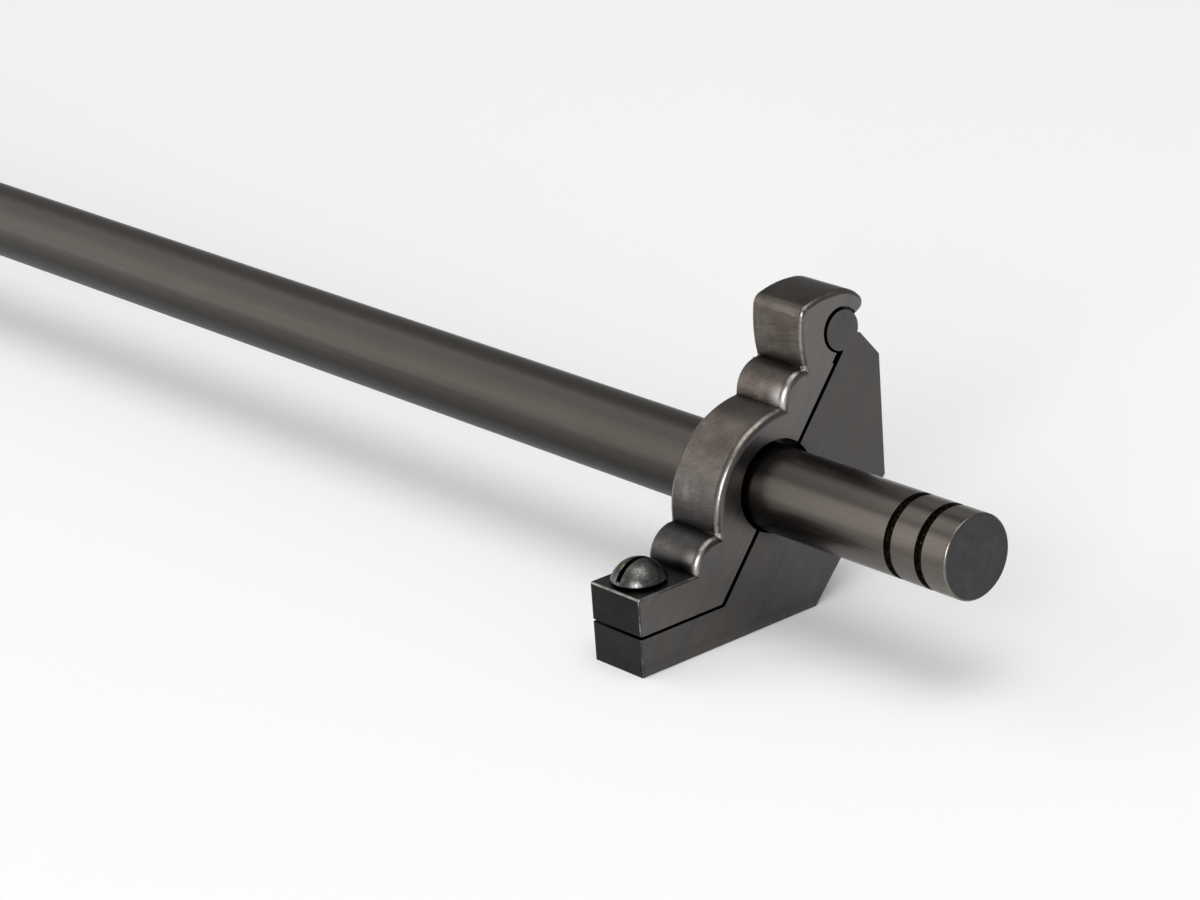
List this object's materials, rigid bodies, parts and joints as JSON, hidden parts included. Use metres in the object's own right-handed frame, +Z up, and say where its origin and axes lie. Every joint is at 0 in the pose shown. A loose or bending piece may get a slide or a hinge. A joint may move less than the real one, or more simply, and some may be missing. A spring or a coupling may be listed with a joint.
{
  "type": "stair carpet rod",
  "caption": "Round stair carpet rod with grooved ends, held in hinged scroll-fronted brackets that close round it with a slotted screw and fix into the corner of tread and riser.",
  "frame": {"origin": "on the tread, midway along the rod and midway through the brackets' depth", "axes": "+X along the rod, +Y towards the riser, +Z up from the tread"},
  "size_m": [0.7038, 0.0492, 0.0474],
  "materials": {
    "rod_metal": "dark bronze plating, brushed lengthwise",
    "bracket_metal": "dark bronze plating, brushed, edges rubbed bright",
    "screw_metal": "dark bronze plating, rubbed mottled on the head"
  },
  "bodies": {
    "rod": {"stair_rod": "rod_metal"},
    "left_bracket": {"bracket_base_left": "bracket_metal"},
    "left_cover": {"bracket_cover_left": "bracket_metal"},
    "left_screw": {"cover_screw_left": "screw_metal"},
    "right_bracket": {"bracket_base_right": "bracket_metal"},
    "right_cover": {"bracket_cover_right": "bracket_metal"},
    "right_screw": {"cover_screw_right": "screw_metal"}
  },
  "joints": [
    {"name": "left_bracket_slide", "type": "slide", "parent": "rod", "child": "left_bracket", "axis": [-1, 0, 0], "range_m": [-0.3, 0.04]},
    {"name": "left_cover_hinge", "type": "hinge", "parent": "left_bracket", "child": "left_cover", "pos_m": [-0.306, 0.01735, 0.04112], "axis": [-1, 0, 0], "range_deg": [0, 45]},
    {"name": "left_screw_slide", "type": "slide", "parent": "left_cover", "child": "left_screw", "axis": [0, 0, 1], "range_m": [0, 0.0112]},
    {"name": "right_bracket_slide", "type": "slide", "parent": "rod", "child": "right_bracket", "axis": [1, 0, 0], "range_m": [-0.3, 0.04]},
    {"name": "right_cover_hinge", "type": "hinge", "parent": "right_bracket", "child": "right_cover", "pos_m": [0.306, 0.01735, 0.04112], "axis": [-1, 0, 0], "range_deg": [0, 45]},
    {"name": "right_screw_slide", "type": "slide", "parent": "right_cover", "child": "right_screw", "axis": [0, 0, 1], "range_m": [0, 0.0112]}
  ]
}
